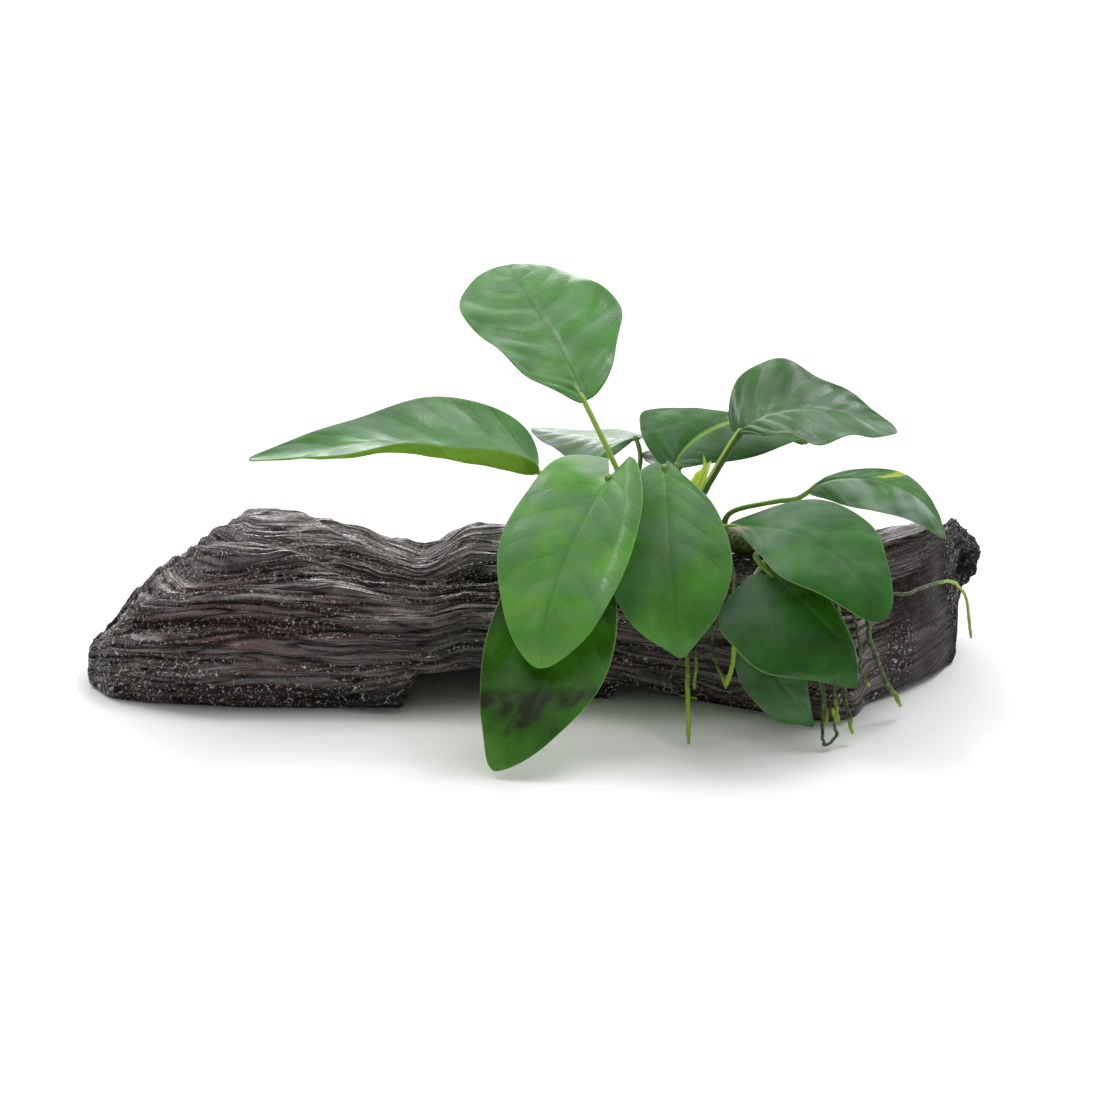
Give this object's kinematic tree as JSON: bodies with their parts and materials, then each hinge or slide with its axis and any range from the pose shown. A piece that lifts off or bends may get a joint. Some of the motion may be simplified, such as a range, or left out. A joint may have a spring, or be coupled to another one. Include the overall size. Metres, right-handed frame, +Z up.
{
  "type": "anubias nana on driftwood",
  "caption": "Aquarium plant with broad pointed leaves on short stalks, creeping along the top of a wet, ridged piece of driftwood, its roots hanging in front.",
  "frame": {"origin": "on the driftwood's underside, at the centre of the face that it rests on", "axes": "+X along the driftwood towards its broken stub, +Y away from the side that the roots hang on, +Z up"},
  "size_m": [0.2391, 0.1328, 0.0966],
  "materials": {
    "wet_driftwood": "waterlogged dark brown wood, wet and glossy on its ridges",
    "leaf_blade": "thick waxy leaf, deep green and glossy, lighter below",
    "leaf_stalk": "smooth yellow-green stalk",
    "rhizome_skin": "ringed green-brown creeping stem",
    "bud_sheath": "thin bright yellow-green sheath",
    "root_skin": "smooth olive-green root with a bright tip"
  },
  "bodies": {
    "root": {"driftwood": "wet_driftwood", "rhizome": "rhizome_skin", "leaf_top": "leaf_blade", "leaf_left": "leaf_blade", "leaf_front_left": "leaf_blade", "leaf_front_right": "leaf_blade", "leaf_low_front": "leaf_blade", "leaf_back_left": "leaf_blade", "leaf_middle": "leaf_blade", "leaf_inner": "leaf_blade", "leaf_right_top": "leaf_blade", "leaf_far_right": "leaf_blade", "leaf_right_mid": "leaf_blade", "leaf_right_low": "leaf_blade", "leaf_bottom_right": "leaf_blade", "stalk_top": "leaf_stalk", "stalk_left": "leaf_stalk", "stalk_front_left": "leaf_stalk", "stalk_front_right": "leaf_stalk", "stalk_low_front": "leaf_stalk", "stalk_back_left": "leaf_stalk", "stalk_middle": "leaf_stalk", "stalk_inner": "leaf_stalk", "stalk_right_top": "leaf_stalk", "stalk_far_right": "leaf_stalk", "stalk_right_mid": "leaf_stalk", "stalk_right_low": "leaf_stalk", "stalk_bottom_right": "leaf_stalk", "sheath_large": "bud_sheath", "sheath_hook": "bud_sheath", "root_long": "root_skin", "root_curl": "root_skin", "root_short": "root_skin", "root_fork_left": "root_skin", "root_fork_right": "root_skin", "root_bunch_a": "root_skin", "root_bunch_loop": "root_skin", "root_bunch_b": "root_skin", "root_bunch_c": "root_skin", "root_right_pair": "root_skin", "root_right_side": "root_skin", "root_long_right": "root_skin"}
  },
  "joints": []
}
